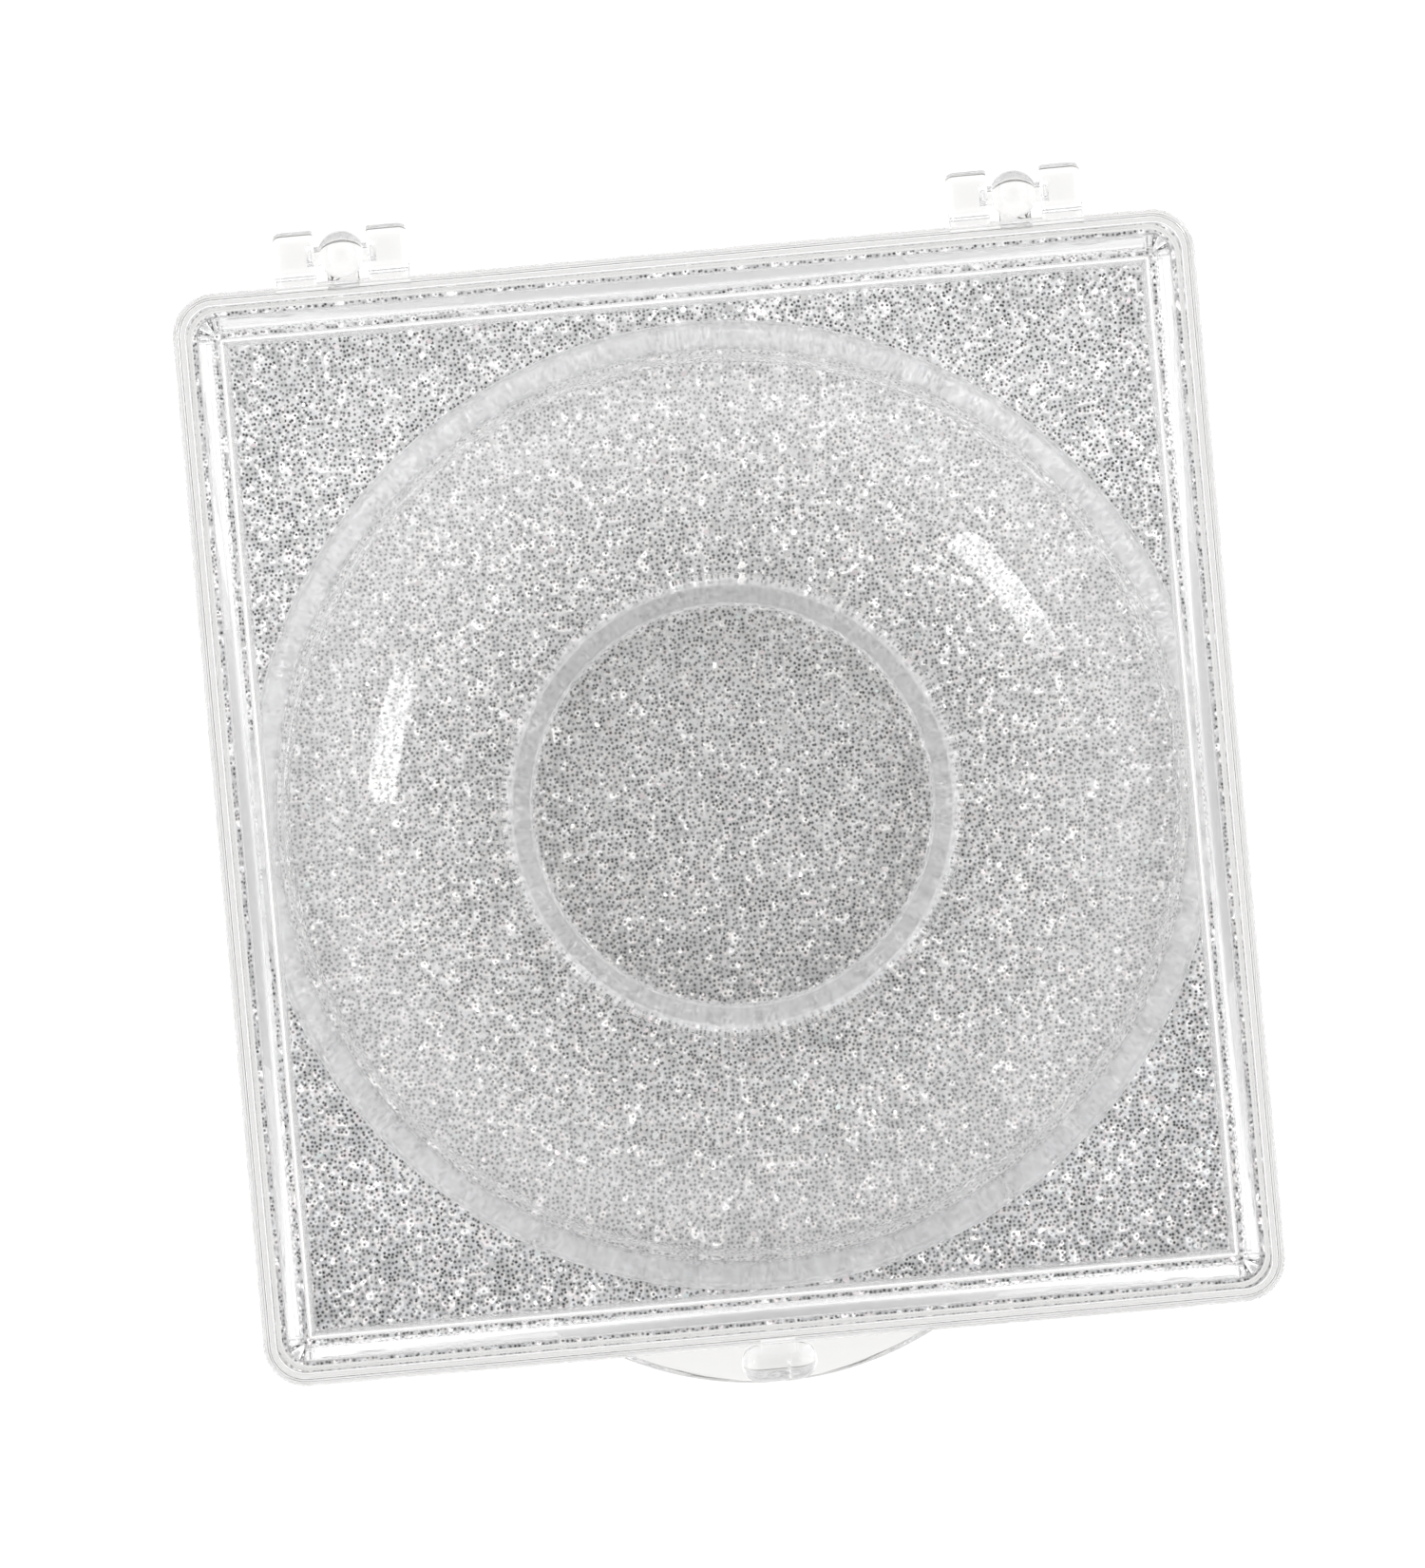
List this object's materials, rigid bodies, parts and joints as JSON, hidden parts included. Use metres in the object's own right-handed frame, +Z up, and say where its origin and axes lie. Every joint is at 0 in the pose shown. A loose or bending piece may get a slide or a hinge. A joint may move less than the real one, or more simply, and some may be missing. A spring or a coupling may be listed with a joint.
{
  "type": "false eyelash case",
  "caption": "Clear hinged square case holding a silver glitter card and a round thermoformed tray for false eyelashes.",
  "frame": {"origin": "centre of the flat underside of the case's base", "axes": "+Z up through the lid, +Y towards the two hinges, +X to the right with the hinges at the back"},
  "size_m": [0.058, 0.0675, 0.013],
  "materials": {
    "clear_case": "polished",
    "clear_tray": "gloss",
    "silver_glitter": "gloss",
    "white_card": "matte"
  },
  "bodies": {
    "base": {"case_base": "clear_case", "card_backing": "white_card", "glitter_face": "silver_glitter", "lash_tray": "clear_tray"},
    "lid": {"case_lid": "clear_case"}
  },
  "joints": [
    {"name": "lid_hinge", "type": "hinge", "parent": "base", "child": "lid", "pos_m": [0, 0.03275, 0.0065], "axis": [-1, 0, 0], "range_deg": [0, 180]}
  ]
}
